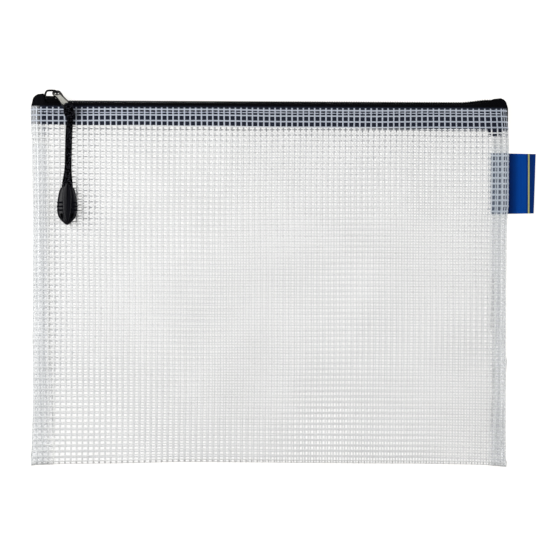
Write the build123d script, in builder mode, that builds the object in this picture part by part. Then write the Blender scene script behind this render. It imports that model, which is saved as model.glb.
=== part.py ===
from build123d import *
import os
from math import cos, radians, sin, tan

# A landscape zip wallet for A5 papers, lying on its back. Sizes are in millimetres.
# +X runs along the zip, +Y points from the bottom edge to the zip and +Z out of the front.
# The origin is the middle of the back panel's outer face.

os.makedirs("parts", exist_ok=True)

# Film body
WIDTH = 252.0
HEIGHT = 190.0
FILM = 0.4
SIDE_ROUND = 4.1
BOTTOM_ROUND = 4.1
SIDE_ALLOWANCE = 8.0
BOTTOM_ALLOWANCE = 2.5
BOTTOM_DEPTH = 5.0
MIDDLE_DEPTH = 9.4
MIDDLE_Y = -10.0
LEVEL_Y = 70.0

# Zip tape, folded over the wallet's top edge
TAPE = 0.5
TAPE_HALF = 5.0
TAPE_RISE = 2.1
TAPE_OVERLAP = 10.6
TAPE_ROUND = 1.3
TAPE_GAP = 0.9
LEVEL_LEFT = -120.0
LEVEL_RIGHT = 101.0

# Nylon coil, size 3
COIL_PITCH = 1.29
COIL_HEIGHT = 1.5
COIL_HALF = 1.85
COIL_ROOT = 1.3
COIL_OVERLAP = 0.45
COIL_NECK = 0.4
COIL_HEAD = 0.6
COIL_PARTING = 1.03

# Slider
SLIDER_X = -115.7
SLIDER_HALF_LENGTH = 4.2
PLATE = 0.8
SHOULDER_HALF = 3.5
WAIST_HALF = 2.9
TAIL_HALF = 2.4
NOSE_HALF = 2.2
CHANNEL_NOSE = 3.0
CHANNEL_TAIL = 2.0
SLIDER_FIT = 0.25
POST_HALF = 0.5
BAIL_WIRE = 0.85
BAIL_DEPTH = 1.0
BAIL_LENGTH = 5.5
BAIL_RISE = 4.2
BAIL_ROUND = 1.1

# Pull tab
TAB_TILT = 55.0
TAB_LEAN = 27.0
TAB_LIFT_POINT = 2.55
TAB_THICK = 0.9
TAB_HALF = 2.3
TAB_WAIST = 1.9
TAB_FOOT_HALF = 2.45
TAB_BAR_AT = 15.2
TAB_BAR = 0.9
EYE_WIDTH = 2.9
EYE_LENGTH = 3.5
EYE_BAR = 0.85
SLOT_WIDTH = 3.5
SLOT_LENGTH = 1.95
FACE_RECESS = 0.15

# Cord and grip
CORD = 1.6
CORD_SIDES = 8
TURN_SIDES = 16
STRAND_HALF_GAP = 0.85
HITCH_RADIUS = 1.5
GRIP_X = -107.0
GRIP_Z = 13.4
GRIP_TOP = 51.4
GRIP_TIP = 32.5
GRIP_HALF = 5.25
GRIP_THICK = 3.6
SHIELD_THICK = 5.0
SHIELD_TOP = 54.0
SHIELD_HALF = 2.7
GRIP_RIB = 0.5

# Side label
LABEL_WIDTH = 32.2
LABEL_Y = 55.1
LABEL_INNER = 117.9
LABEL_OUTER = 141.2
LABEL_LEAF = 0.25
LABEL_FOLD = 0.6

# Worked-out places
FILM_TOP = HEIGHT / 2
FILM_BOTTOM = -HEIGHT / 2
ZIP_DEPTH = 2 * (TAPE_HALF + FILM)
ZIP_MIDDLE = ZIP_DEPTH / 2
TAPE_TOP = FILM_TOP + TAPE_RISE
TAPE_FOOT = FILM_TOP - TAPE_OVERLAP
DEPTHS = (
    (FILM_BOTTOM, BOTTOM_DEPTH),
    (MIDDLE_Y, MIDDLE_DEPTH),
    (LEVEL_Y, ZIP_DEPTH),
    (FILM_TOP, ZIP_DEPTH),
)


def finish(piece, name):
    """Label a finished piece and write its file."""
    piece.part.label = name
    export_step(piece.part, f"parts/{name}.step")


def depth_at(y):
    """Outer depth of the wallet at height y, straight between the stations."""
    for (low, low_depth), (high, high_depth) in zip(DEPTHS, DEPTHS[1:]):
        if y <= high:
            return low_depth + (high_depth - low_depth) * (y - low) / (high - low)
    return DEPTHS[-1][1]


def edge_round(depth, widest):
    """Radius of a rounded edge: as wide as the shell's height leaves, up to the widest."""
    return min(widest, 0.9 * (depth - FILM))


def body_section(y, inset):
    """Section across the wallet at height y: a flat front with rounded sides."""
    side = WIDTH / 2 - inset
    top = depth_at(y) - inset
    corner = edge_round(depth_at(y), SIDE_ROUND) - inset
    with BuildSketch(Plane.XZ.offset(-y)) as section:
        with BuildLine():
            Line((-side, FILM), (side, FILM))
            Line((side, FILM), (side, top - corner))
            CenterArc((side - corner, top - corner), corner, 0, 90)
            Line((side - corner, top), (corner - side, top))
            CenterArc((corner - side, top - corner), corner, 90, 90)
            Line((-side, top - corner), (-side, FILM))
        make_face()
    return section.sketch


def bottom_profile(inset):
    """Side view of the room that the wallet fills, with its rounded bottom edge."""
    corner = edge_round(BOTTOM_DEPTH, BOTTOM_ROUND)
    turn = FILM_BOTTOM + corner
    top = depth_at(turn)
    with BuildSketch(Plane.YZ) as profile:
        with BuildLine():
            CenterArc((turn, top - corner), corner - inset, 90, 90)
            Polyline(
                (turn, top - inset),
                (turn, 2 * ZIP_DEPTH),
                (2 * FILM_TOP, 2 * ZIP_DEPTH),
                (2 * FILM_TOP, FILM),
                (FILM_BOTTOM + inset, FILM),
                (FILM_BOTTOM + inset, top - corner),
            )
        make_face()
    return profile.sketch


# Room for papers: the hollow between the two panels
with BuildPart() as document_room:
    loft([body_section(y, FILM) for y, depth in DEPTHS], ruled=True)
    extrude(bottom_profile(FILM), amount=WIDTH, both=True, mode=Mode.INTERSECT)

# Front panel: a film shell whose side and bottom allowances turn in at the seams
lip_length = TAPE_FOOT - FILM_BOTTOM - FILM
with BuildPart() as front_panel:
    loft([body_section(y, 0) for y, depth in DEPTHS], ruled=True)
    extrude(bottom_profile(0), amount=WIDTH, both=True, mode=Mode.INTERSECT)
    add(document_room.part, mode=Mode.SUBTRACT)
    with BuildSketch(Plane.XY.offset(FILM)):
        for side in (-1, 1):
            lip_x = side * (WIDTH / 2 - FILM / 2 - SIDE_ALLOWANCE / 2)
            with Locations((lip_x, FILM_BOTTOM + FILM / 2 + lip_length / 2)):
                Rectangle(SIDE_ALLOWANCE, lip_length)
        with Locations((0, FILM_BOTTOM + FILM / 2 + BOTTOM_ALLOWANCE / 2)):
            Rectangle(WIDTH - FILM, BOTTOM_ALLOWANCE)
    extrude(amount=FILM)
    with BuildSketch(Plane.XY.offset(FILM)):
        with Locations((WIDTH / 2 - SIDE_ALLOWANCE / 2, LABEL_Y)):
            Rectangle(2 * SIDE_ALLOWANCE, LABEL_WIDTH + 2 * FILM)
    extrude(amount=LABEL_FOLD + FILM / 2, mode=Mode.SUBTRACT)
finish(front_panel, "front_panel")

# Back panel: a flat film sheet, which the wallet lies on
with BuildPart() as back_panel:
    with BuildSketch():
        Rectangle(WIDTH, HEIGHT)
    extrude(amount=FILM)
finish(back_panel, "back_panel")

# Zip stations from end to end: place along X, half-width and middle in depth, top and corner radius
# Next to the side seams the folded tape closes up, stands higher and then rounds down.
ZIP_STATIONS = (
    (-125.0, 1.9, 2.4, 97.2, 1.0),
    (-122.5, 3.2, 3.9, 99.3, 1.1),
    (LEVEL_LEFT, TAPE_HALF, ZIP_MIDDLE, TAPE_TOP, TAPE_ROUND),
    (LEVEL_RIGHT, TAPE_HALF, ZIP_MIDDLE, TAPE_TOP, TAPE_ROUND),
    (121.0, 2.3, 2.9, 98.4, 1.0),
    (125.0, 1.9, 2.4, 96.4, 1.0),
)


def tape_section(station, inset):
    """Section of the folded tape at a station, as a block with two rounded top corners."""
    x, half, middle, top, corner = station
    half -= inset
    top -= inset
    corner -= inset
    low, high = middle - half, middle + half
    with BuildSketch(Plane.YZ.offset(x)) as section:
        with BuildLine():
            Line((TAPE_FOOT, low), (top - corner, low))
            CenterArc((top - corner, low + corner), corner, -90, 90)
            Line((top, low + corner), (top, high - corner))
            CenterArc((top - corner, high - corner), corner, 0, 90)
            Polyline((top - corner, high), (TAPE_FOOT, high), (TAPE_FOOT, low))
        make_face()
    return section.sketch


def gap_section(station):
    """Section of the gap between the two tape edges at a station."""
    x, half, middle, top, corner = station
    gap = min(TAPE_GAP, half / 3)
    with BuildSketch(Plane.YZ.offset(x)) as section:
        with Locations((top, middle)):
            Rectangle(4 * TAPE, 2 * gap)
    return section.sketch


# The two tape halves are cut from one folded strip
with BuildPart() as folded_tape:
    loft([tape_section(station, 0) for station in ZIP_STATIONS], ruled=True)
    loft([tape_section(station, TAPE) for station in ZIP_STATIONS], ruled=True, mode=Mode.SUBTRACT)
    loft([gap_section(station) for station in ZIP_STATIONS], ruled=True, mode=Mode.SUBTRACT)

with BuildPart() as back_zip_tape:
    add(folded_tape.part.solids().sort_by(Axis.Z)[0])
finish(back_zip_tape, "back_zip_tape")

with BuildPart() as front_zip_tape:
    add(folded_tape.part.solids().sort_by(Axis.Z)[-1])
finish(front_zip_tape, "front_zip_tape")

# Coil rows: the wound monofilament's loops in plan, with the heads that hook between each other
PARTING_FULL = SLIDER_X - LEVEL_LEFT - 2.0
PARTING_END = SLIDER_X - LEVEL_LEFT + 1.5


def parting(along, straight):
    """How far a row stands off the middle: full left of the slider's post, none behind it."""
    if not straight:
        return 0.0
    share = (PARTING_END - along) / (PARTING_END - PARTING_FULL)
    return COIL_PARTING * min(1.0, max(0.0, share))


def coil_row(first, last, side, straight):
    """Plan of one coil row between two zip stations; side is 1 for the front row."""
    start = Vector(first[0], first[3], first[2])
    run = Vector(last[0], last[3], last[2]) - start
    upward = Vector(-run.Y, run.X, 0)
    count = int(run.length / COIL_PITCH)
    phase = 0.3 if side > 0 else 0.8
    loop = (
        (-COIL_NECK / 2, COIL_ROOT),
        (-COIL_HEAD / 2, -COIL_OVERLAP),
        (COIL_HEAD / 2, -COIL_OVERLAP),
        (COIL_NECK / 2, COIL_ROOT),
    )
    outline = []
    for index in range(count):
        along = (index + phase) * COIL_PITCH
        off = parting(along, straight)
        outline += [(along + step, -side * (reach + off)) for step, reach in loop]
    ends = (run.length + FILM, PARTING_END, PARTING_FULL, 0.0) if straight else (run.length, -FILM)
    outline += [(along, -side * (COIL_HALF + parting(along, straight))) for along in ends]
    with BuildSketch(Plane(start, x_dir=run, z_dir=upward)) as plan:
        with BuildLine():
            Polyline(*outline, close=True)
        make_face()
    return plan.sketch


for name, side in (("front_coil", 1), ("back_coil", -1)):
    with BuildPart() as coil:
        extrude(coil_row(ZIP_STATIONS[2], ZIP_STATIONS[3], side, True), amount=COIL_HEIGHT)
        extrude(coil_row(ZIP_STATIONS[3], ZIP_STATIONS[4], side, False), amount=COIL_HEIGHT)
    finish(coil, name)

# Slider: two plates joined by the wedge post at the nose, flanges over the tape, and the bail
plate_under = TAPE_TOP + COIL_HEIGHT + SLIDER_FIT
plate_top = plate_under + PLATE
lower_top = TAPE_TOP - TAPE - SLIDER_FIT


def slider_plane(y):
    """Plane across the zip at height y: local x along the zip, local y out of the back."""
    return Plane((SLIDER_X, y, ZIP_MIDDLE), x_dir=(1, 0, 0), z_dir=(0, 1, 0))


with BuildPart() as zip_slider:
    for level in (lower_top - PLATE, plate_under):
        with BuildSketch(slider_plane(level)) as plate:
            with BuildLine():
                Polyline(
                    (-SLIDER_HALF_LENGTH, 0),
                    (-SLIDER_HALF_LENGTH, NOSE_HALF),
                    (-3.2, SHOULDER_HALF),
                    (-0.5, WAIST_HALF),
                    (SLIDER_HALF_LENGTH, TAIL_HALF),
                    (SLIDER_HALF_LENGTH, 0),
                )
                mirror(about=Plane.XZ)
            make_face()
            fillet(plate.vertices().filter_by(lambda corner: abs(corner.Y) > 1), 0.6)
        extrude(amount=PLATE)
    with BuildSketch(slider_plane(TAPE_TOP + SLIDER_FIT)):
        with BuildLine():
            Polyline(
                (-3.4, CHANNEL_NOSE),
                (-3.1, SHOULDER_HALF - 0.05),
                (-0.5, WAIST_HALF),
                (SLIDER_HALF_LENGTH, TAIL_HALF - 0.1),
                (SLIDER_HALF_LENGTH, CHANNEL_TAIL),
                (1.9, CHANNEL_TAIL),
                (-2.0, CHANNEL_NOSE),
                close=True,
            )
        make_face()
        mirror(about=Plane.XZ)
    extrude(amount=plate_under - TAPE_TOP - SLIDER_FIT)
    with BuildSketch(slider_plane(lower_top)):
        with BuildLine():
            Polyline((-3.9, 0), (-3.2, POST_HALF), (-2.3, POST_HALF), (-0.9, 0))
            mirror(about=Plane.XZ)
        make_face()
    extrude(amount=plate_under - lower_top)
    with BuildSketch(Plane.XY.offset(ZIP_MIDDLE - BAIL_DEPTH / 2)):
        bail_left = SLIDER_X - BAIL_LENGTH / 2
        bail_right = SLIDER_X + BAIL_LENGTH / 2
        bail_foot = plate_top - PLATE / 2
        bail_crown = plate_top + BAIL_RISE
        with BuildLine():
            FilletPolyline(
                (bail_left, bail_foot),
                (bail_left + 0.6, bail_crown),
                (bail_right - 0.4, bail_crown - 0.1),
                (bail_right, bail_foot),
                radius=BAIL_ROUND,
            )
        trace(line_width=BAIL_WIRE)
    extrude(amount=BAIL_DEPTH)
finish(zip_slider, "zip_slider")

# Pull tab: its eye hangs on the bail's right leg, and it leans over the front edge
tab_rise = Vector(0, -cos(radians(TAB_TILT)), sin(radians(TAB_TILT)))
tab_axis = Vector(1, 0, 0) * sin(radians(TAB_LEAN)) + tab_rise * cos(radians(TAB_LEAN))
tab_normal = Vector(0, sin(radians(TAB_TILT)), cos(radians(TAB_TILT)))
tab_width = tab_axis.cross(tab_normal)
eye_middle = Vector(bail_right - 0.1, plate_top + TAB_LIFT_POINT, ZIP_MIDDLE)
tab_plane = Plane(eye_middle - tab_normal * (TAB_THICK / 2), x_dir=tab_width, z_dir=tab_normal)
tab_head = -EYE_LENGTH / 2 - EYE_BAR
tab_foot = TAB_BAR_AT + TAB_BAR / 2

with BuildPart() as pull_tab:
    with BuildSketch(tab_plane) as outline:
        with BuildLine():
            Polyline(
                (0, tab_head),
                (TAB_HALF, tab_head),
                (TAB_HALF, 1.8),
                (TAB_WAIST, 4.2),
                (TAB_FOOT_HALF, TAB_BAR_AT - 3.2),
                (TAB_FOOT_HALF, tab_foot),
                (0, tab_foot),
            )
            mirror(about=Plane.YZ)
        make_face()
        fillet(outline.vertices(), 0.5)
        RectangleRounded(EYE_WIDTH, EYE_LENGTH, 0.8, mode=Mode.SUBTRACT)
        with Locations((0, TAB_BAR_AT - TAB_BAR / 2 - SLOT_LENGTH / 2)):
            RectangleRounded(SLOT_WIDTH, SLOT_LENGTH, 0.5, mode=Mode.SUBTRACT)
    extrude(amount=TAB_THICK)
    with BuildSketch(tab_plane.offset(TAB_THICK)) as face:
        with BuildLine():
            Polyline((0, 3.4), (TAB_WAIST - 0.5, 4.4), (TAB_FOOT_HALF - 0.7, 11.4), (0, 11.4))
            mirror(about=Plane.YZ)
        make_face()
    extrude(amount=-FACE_RECESS, mode=Mode.SUBTRACT)
finish(pull_tab, "pull_tab")

# Cord hitch: two turns round the tab's end bar, and the bight that crosses in front of them
# It is drawn lying flat, the bar along Z and the bight at +X, and then moved on to the bar.
bar_middle = eye_middle + tab_axis * TAB_BAR_AT
pull_pivot = bar_middle + Vector(0.3, -3.0, -2.0)
bight_way = (tab_axis + tab_normal).normalized()
hitch_plane = Plane(bar_middle, x_dir=bight_way, z_dir=tab_width)
leaving = (pull_pivot - bar_middle).normalized()
leaving_way = Vector(leaving.dot(bight_way), leaving.dot(tab_width.cross(bight_way)), 0).normalized()
bight_half = STRAND_HALF_GAP + CORD / 2
stub_length = (pull_pivot - bar_middle).length - HITCH_RADIUS - CORD / 2 - 0.32

with BuildPart() as flat_hitch:
    for side in (-1, 1):
        with BuildSketch(Plane.XY.offset(side * STRAND_HALF_GAP - CORD / 2)):
            RegularPolygon(HITCH_RADIUS + CORD / 2, TURN_SIDES)
            RegularPolygon(HITCH_RADIUS - CORD / 2, TURN_SIDES, mode=Mode.SUBTRACT)
        extrude(amount=CORD)
    chamfer(flat_hitch.faces().filter_by(Axis.Z).edges(), 0.29 * CORD)
    with BuildSketch(Plane.XY.offset(-bight_half)):
        with Locations((HITCH_RADIUS + CORD / 2 - 0.1, 0)):
            RegularPolygon(CORD / 2, CORD_SIDES)
    extrude(amount=2 * bight_half)
    for side in (-1, 1):
        stub_start = leaving_way * HITCH_RADIUS + Vector(0, 0, side * STRAND_HALF_GAP)
        with BuildSketch(Plane(stub_start, x_dir=(0, 0, 1), z_dir=leaving_way)):
            RegularPolygon(CORD / 2 - 0.05, CORD_SIDES)
        extrude(amount=stub_length)

with BuildPart() as cord_hitch:
    add(flat_hitch.part.moved(hitch_plane.location))
finish(cord_hitch, "cord_hitch")

# Pull cord: two strands from the hitch down to the grip, resting on the front panel on the way
# Route points: offset from the grip's axis, place along Y and height.
STRAND_ROUTE = (
    (STRAND_HALF_GAP, pull_pivot.Y, pull_pivot.Z),
    (STRAND_HALF_GAP, 82.0, 12.1),
    (STRAND_HALF_GAP, 68.0, 11.8),
    (1.15, GRIP_TOP + 0.15, GRIP_Z),
)


def strand_points(side):
    """Route of one strand, from the pivot at the hitch down to the grip."""
    shift = pull_pivot.X - GRIP_X
    points = []
    for index, (offset_x, y, z) in enumerate(STRAND_ROUTE):
        drift = shift * (1 - index / (len(STRAND_ROUTE) - 1))
        points.append(Vector(GRIP_X + drift + side * offset_x, y, z))
    return points


def bend_radii(points):
    """Largest arc at each corner: 0.45 of the shorter run over the tangent of half the turn."""
    radii = []
    for before, corner, after in zip(points, points[1:], points[2:]):
        run_in, run_out = corner - before, after - corner
        turn = radians(run_in.get_angle(run_out))
        radii.append(0.45 * min(run_in.length, run_out.length) / tan(turn / 2))
    return radii


with BuildPart() as pull_cord:
    for side in (-1, 1):
        corners = strand_points(side)
        with BuildLine() as strand:
            FilletPolyline(*corners, radius=bend_radii(corners))
        with BuildSketch(Plane(strand.line @ 0, z_dir=strand.line % 0)):
            RegularPolygon(CORD / 2, CORD_SIDES)
        sweep(path=strand.line)
        length = sum(edge.length for edge in strand.edges())
        print("strand length", round(length, 2), "radii", [round(r, 1) for r in bend_radii(corners)])
finish(pull_cord, "pull_cord")

# Pull grip: a moulded body with a raised shield on both faces and ribs down its sides
with BuildPart() as pull_grip:
    with BuildSketch(Plane.XY.offset(GRIP_Z - GRIP_THICK / 2)) as body:
        with BuildLine():
            Polyline(
                (GRIP_X, GRIP_TOP),
                (GRIP_X + 3.6, GRIP_TOP),
                (GRIP_X + 4.6, 48.4),
                (GRIP_X + GRIP_HALF, 44.4),
                (GRIP_X + GRIP_HALF, 38.6),
                (GRIP_X + 3.6, 35.0),
                (GRIP_X, GRIP_TIP),
            )
            mirror(about=Plane.YZ.offset(GRIP_X))
        make_face()
        fillet(body.vertices().filter_by(lambda corner: abs(corner.X - GRIP_X) > 1), 1.2)
    extrude(amount=GRIP_THICK)
    chamfer(pull_grip.faces().filter_by(Axis.Z).edges(), 0.7)
    with BuildSketch(Plane((GRIP_X, 0, GRIP_Z))):
        with BuildLine():
            Polyline(
                (0, SHIELD_TOP),
                (SHIELD_HALF - 0.5, GRIP_TOP - 0.4),
                (SHIELD_HALF, 45.0),
                (SHIELD_HALF - 0.9, 38.0),
                (0, GRIP_TIP + 0.6),
            )
            mirror(about=Plane.YZ)
        make_face()
    shield = extrude(amount=SHIELD_THICK / 2, taper=12)
    mirror(shield, about=Plane.XY.offset(GRIP_Z))
    for y in (44.2, 42.2, 40.2):
        with BuildSketch(Plane.XY.offset(GRIP_Z - GRIP_THICK / 3)):
            with Locations((GRIP_X - GRIP_HALF + 0.2, y), (GRIP_X + GRIP_HALF - 0.2, y)):
                Circle(GRIP_RIB)
        extrude(amount=2 * GRIP_THICK / 3)
    with BuildSketch(Plane.XY.offset(GRIP_Z + GRIP_THICK / 2)):
        with Locations((GRIP_X - 2.9, 37.6), (GRIP_X + 2.9, 37.6)):
            RectangleRounded(1.2, 2.2, 0.4)
    extrude(amount=-1.1, mode=Mode.SUBTRACT)
    with BuildSketch(Plane.XZ.offset(-SHIELD_TOP)):
        with Locations((GRIP_X - 1.15, GRIP_Z), (GRIP_X + 1.15, GRIP_Z)):
            Circle(CORD / 2 + 0.15)
    extrude(amount=SHIELD_TOP - GRIP_TOP, mode=Mode.SUBTRACT)
finish(pull_grip, "pull_grip")

# Side label: a ribbon folded double, its two ends caught in the side seam
with BuildPart() as side_label:
    with BuildSketch(Plane.XZ.offset(-LABEL_Y - LABEL_WIDTH / 2)) as ribbon:
        with Locations(((LABEL_INNER + LABEL_OUTER) / 2, FILM + LABEL_FOLD / 2)):
            Rectangle(LABEL_OUTER - LABEL_INNER, LABEL_FOLD)
        fillet(ribbon.vertices().group_by(Axis.X)[-1], LABEL_FOLD / 2 - 0.01)
        with Locations(((LABEL_INNER + LABEL_OUTER) / 2 - LABEL_LEAF, FILM + LABEL_FOLD / 2)):
            Rectangle(LABEL_OUTER - LABEL_INNER, LABEL_FOLD - 2 * LABEL_LEAF, mode=Mode.SUBTRACT)
    extrude(amount=LABEL_WIDTH)
finish(side_label, "side_label")
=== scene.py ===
"""Looks of a zip wallet of clear mesh film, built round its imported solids.

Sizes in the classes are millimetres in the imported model's frame: +X along the zip, +Y towards
the zip and +Z out of the front. Meshes and materials are in metres.
"""

import logging
import math
from collections.abc import Callable, Iterable, Iterator, Sequence
from contextlib import contextmanager
from dataclasses import dataclass
from enum import Enum

import bpy
import numpy as np
from bpy.types import ID, Material, Node, NodeSocket, NodeTree, Object
from mathutils import Matrix, Vector
from numpy import ndarray as Array


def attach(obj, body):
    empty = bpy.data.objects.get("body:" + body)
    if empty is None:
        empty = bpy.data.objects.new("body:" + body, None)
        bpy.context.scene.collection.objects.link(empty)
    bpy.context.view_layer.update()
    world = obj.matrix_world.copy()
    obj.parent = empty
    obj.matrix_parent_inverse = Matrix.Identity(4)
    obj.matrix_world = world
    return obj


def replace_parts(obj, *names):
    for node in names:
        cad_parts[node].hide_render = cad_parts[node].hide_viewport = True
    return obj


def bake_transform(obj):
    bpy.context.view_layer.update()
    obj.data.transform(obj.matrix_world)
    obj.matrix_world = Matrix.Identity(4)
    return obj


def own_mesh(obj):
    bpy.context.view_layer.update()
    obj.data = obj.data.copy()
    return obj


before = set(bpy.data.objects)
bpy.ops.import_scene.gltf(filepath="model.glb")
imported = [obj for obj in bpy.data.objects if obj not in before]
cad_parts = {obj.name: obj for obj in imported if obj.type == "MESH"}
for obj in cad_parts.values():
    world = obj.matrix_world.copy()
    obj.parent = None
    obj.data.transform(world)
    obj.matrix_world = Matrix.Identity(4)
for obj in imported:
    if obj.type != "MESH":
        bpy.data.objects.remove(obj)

Pair = tuple[float, float]
Triple = tuple[float, float, float]
Numbers = tuple[float, ...]
Pairs = Sequence[Pair]
Rows = Sequence[Numbers]

MM = 0.001
TURN = 2 * math.pi
QUARTER = math.pi / 2
UP = (0.0, 0.0, 1.0)
SIDES = (-1, 1)
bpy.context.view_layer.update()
SLIDER_X = -115.7
# Most values of a noise texture lie between these
NOISE_SPAN = (0.3, 0.7)
# A wave texture of this scale has its bands 1 m apart
WAVE_SCALE = 0.314
log = logging.getLogger("wallet")


def linear(hex_colour: str) -> tuple[float, float, float, float]:
    """Turn an sRGB hex colour to linear RGBA.

    Args:
        hex_colour: Six hex digits after a hash.

    Returns:
        Linear red, green and blue, and an alpha of one.
    """
    parts = [int(hex_colour[i : i + 2], 16) / 255 for i in (1, 3, 5)]
    red, green, blue = (p / 12.92 if p <= 0.04045 else ((p + 0.055) / 1.055) ** 2.4 for p in parts)
    return red, green, blue, 1.0


def add_node(tree: NodeTree, kind: str, settings: dict, links: dict) -> Node:
    """Add a shader node with its settings and links.

    Args:
        tree: Node tree of the material.
        kind: Node type, without the word ShaderNode that starts it.
        settings: Values by input name or number, or by property name for what isn't an input.
        links: What feeds an input, by its name or number: a socket, or a node for its first output.

    Returns:
        The new node.
    """
    node = tree.nodes.new(f"ShaderNode{kind}")
    for name, value in settings.items():
        if isinstance(name, int) or name in node.inputs:
            node.inputs[name].default_value = value
        else:
            setattr(node, name, value)
    for name, source in links.items():
        tree.links.new(source.outputs[0] if isinstance(source, Node) else source, node.inputs[name])
    return node


def colour_stops(ramp: Node, stops: Iterable[tuple[float, str]]) -> None:
    """Set a colour ramp's stops.

    Args:
        ramp: The colour ramp node.
        stops: Positions from 0 to 1 with their hex colours.
    """
    elements = ramp.color_ramp.elements
    for i, (position, hex_colour) in enumerate(stops):
        element = elements[i] if i < len(elements) else elements.new(position)
        element.position = position
        element.color = linear(hex_colour)


@dataclass(frozen=True)
class Finish:
    """A finish with a material of the same name."""

    name: str

    def material(self) -> Material:
        """Give the finish's material, made on first use."""
        made = bpy.data.materials.get(self.name)
        if made is None:
            made = bpy.data.materials.new(self.name)
            made.use_nodes = True
            tree = made.node_tree
            tree.nodes.clear()
            place = add_node(tree, "TexCoord", {}, {}).outputs["Object"]
            add_node(tree, "OutputMaterial", {}, {"Surface": self.shader(tree, place)})
        return made

    def shader(self, tree: NodeTree, place: NodeSocket) -> Node:
        """Wire the finish's nodes.

        Args:
            tree: The material's node tree.
            place: Object coordinates, in metres.

        Returns:
            The Principled node that they end in.
        """
        raise NotImplementedError


@dataclass(frozen=True)
class ClearFilm(Finish):
    """Calendered clear vinyl film: see-through and glossy, with a faint cool haze and soft waves.

    The haze is a hex colour, and cover is the share of the light that the haze of one face stops.
    """

    haze: str
    cover: float

    def shader(self, tree: NodeTree, place: NodeSocket) -> Node:
        """Wire a thin haze under a glossy, slightly wavy surface."""
        # Rolling leaves waves about 14 mm long in the film
        waves = add_node(tree, "TexNoise", {"Scale": 1 / 0.014, "Detail": 2.0}, {"Vector": place})
        rough = add_node(tree, "MapRange", {"To Min": 0.1, "To Max": 0.22}, {"Value": waves})
        bump = add_node(tree, "Bump", {"Strength": 0.35, "Distance": 0.0006}, {"Height": waves})
        look = {"Base Color": linear(self.haze), "Alpha": self.cover, "IOR": 1.53, "Specular IOR Level": 1.0}
        return add_node(tree, "BsdfPrincipled", look, {"Roughness": rough, "Normal": bump})


@dataclass(frozen=True)
class ScrimYarn(Finish):
    """White polyester yarn laid in the film: a soft cool white with fine lengthwise filaments.

    The hex colours are those of its darker and its lighter filaments.
    """

    dark: str
    light: str

    def shader(self, tree: NodeTree, place: NodeSocket) -> Node:
        """Wire an uneven white with a filament grain, with painted shade in the side strips and where the
        tape or the label lies behind the yarn.
        """
        # Filaments are 0.02 mm thick; they are drawn at 0.25 mm so that they show
        grain = add_node(tree, "TexNoise", {"Scale": 1 / 0.00025, "Detail": 1.0}, {"Vector": place})
        patches = add_node(tree, "TexNoise", {"Scale": 1 / 0.03, "Detail": 2.0}, {"Vector": place})
        both = add_node(tree, "Math", {"operation": "ADD"}, {0: grain, 1: patches})
        half = add_node(tree, "Math", {"operation": "MULTIPLY", 1: 0.5}, {0: both})
        tone = add_node(tree, "ValToRGB", {}, {"Fac": half})
        colour_stops(tone, zip(NOISE_SPAN, (self.dark, self.light)))
        split = add_node(tree, "SeparateXYZ", {}, {"Vector": place})
        x, y = split.outputs["X"], split.outputs["Y"]
        # Painted shade: in the side strips, where it lies under creased film, the yarn is painted darker
        out = add_node(tree, "Math", {"operation": "ABSOLUTE"}, {0: x})
        painted_strip_shade = add_node(tree, "MapRange", {"From Min": 0.1160, "From Max": 0.1200}, {"Value": out})
        # Painted shade: the yarn is translucent, so it is painted bluer and darker where the tape or the
        # label lies behind it.
        # The tape's lower edge falls by 1 mm in each 98 mm
        edge = add_node(tree, "Math", {"operation": "MULTIPLY_ADD", 1: 1 / 98}, {0: x, 2: y})
        # Painted shade where the tape lies behind the yarn
        over = add_node(tree, "MapRange", {"From Min": 0.0838, "From Max": 0.0854}, {"Value": edge})
        past = add_node(tree, "MapRange", {"From Min": 0.1165, "From Max": 0.1185}, {"Value": x})
        # The label's middle and half height
        beside = add_node(tree, "Math", {"operation": "COMPARE", 1: 0.0551, 2: 0.0161}, {0: y})
        # Painted shade where the label lies behind the yarn
        painted_label_shade = add_node(tree, "Math", {"operation": "MULTIPLY"}, {0: past, 1: beside})
        # Each mask multiplies the yarn's colour by a tint of painted shade
        for cover, tint in ((painted_strip_shade, "#eef0f2"), (over, "#c8cfdd"), (painted_label_shade, "#d8e0ec")):
            look = {"blend_type": "MULTIPLY", "Color2": linear(tint)}
            tone = add_node(tree, "MixRGB", look, {"Fac": cover, "Color1": tone})
        bump = add_node(tree, "Bump", {"Strength": 0.3, "Distance": 0.00005}, {"Height": grain})
        look = {"Roughness": 0.5, "IOR": 1.55}
        return add_node(tree, "BsdfPrincipled", look, {"Base Color": tone, "Normal": bump})


@dataclass(frozen=True)
class WovenTape(Finish):
    """Black polyester zip tape in a herringbone weave: dull, with a faint painted sheen that makes the ribs
    grey.
    """

    name: str = "black_woven_polyester_tape_painted_sheen"

    def shader(self, tree: NodeTree, place: NodeSocket) -> Node:
        """Wire two crossing sets of yarns with their bump."""
        # Yarns are 0.28 mm apart along the tape; they are drawn at 0.6 mm so that they show
        look = {"Scale": WAVE_SCALE / 0.0006, "Distortion": 0.6, "Detail": 1.0, "bands_direction": "X"}
        heights = []
        for turn in (45, -45):
            way = (0.3, 0.2, math.radians(turn))
            turned = add_node(tree, "Mapping", {"Rotation": way}, {"Vector": place})
            heights.append(add_node(tree, "TexWave", look, {"Vector": turned}).outputs["Fac"])
        weave = add_node(tree, "Math", {"operation": "MULTIPLY"}, dict(enumerate(heights)))
        # Painted sheen: the colour is lighter where the weave rises, on the ribs
        ramp = add_node(tree, "ValToRGB", {}, {"Fac": weave})
        colour_stops(ramp, [(0.0, "#030305"), (0.5, "#08080b"), (1.0, "#131318")])
        bump = add_node(tree, "Bump", {"Strength": 0.7, "Distance": 0.00015}, {"Height": weave})
        look = {"Roughness": 0.8, "Specular IOR Level": 0.03}
        return add_node(tree, "BsdfPrincipled", look, {"Base Color": ramp, "Normal": bump})


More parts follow.
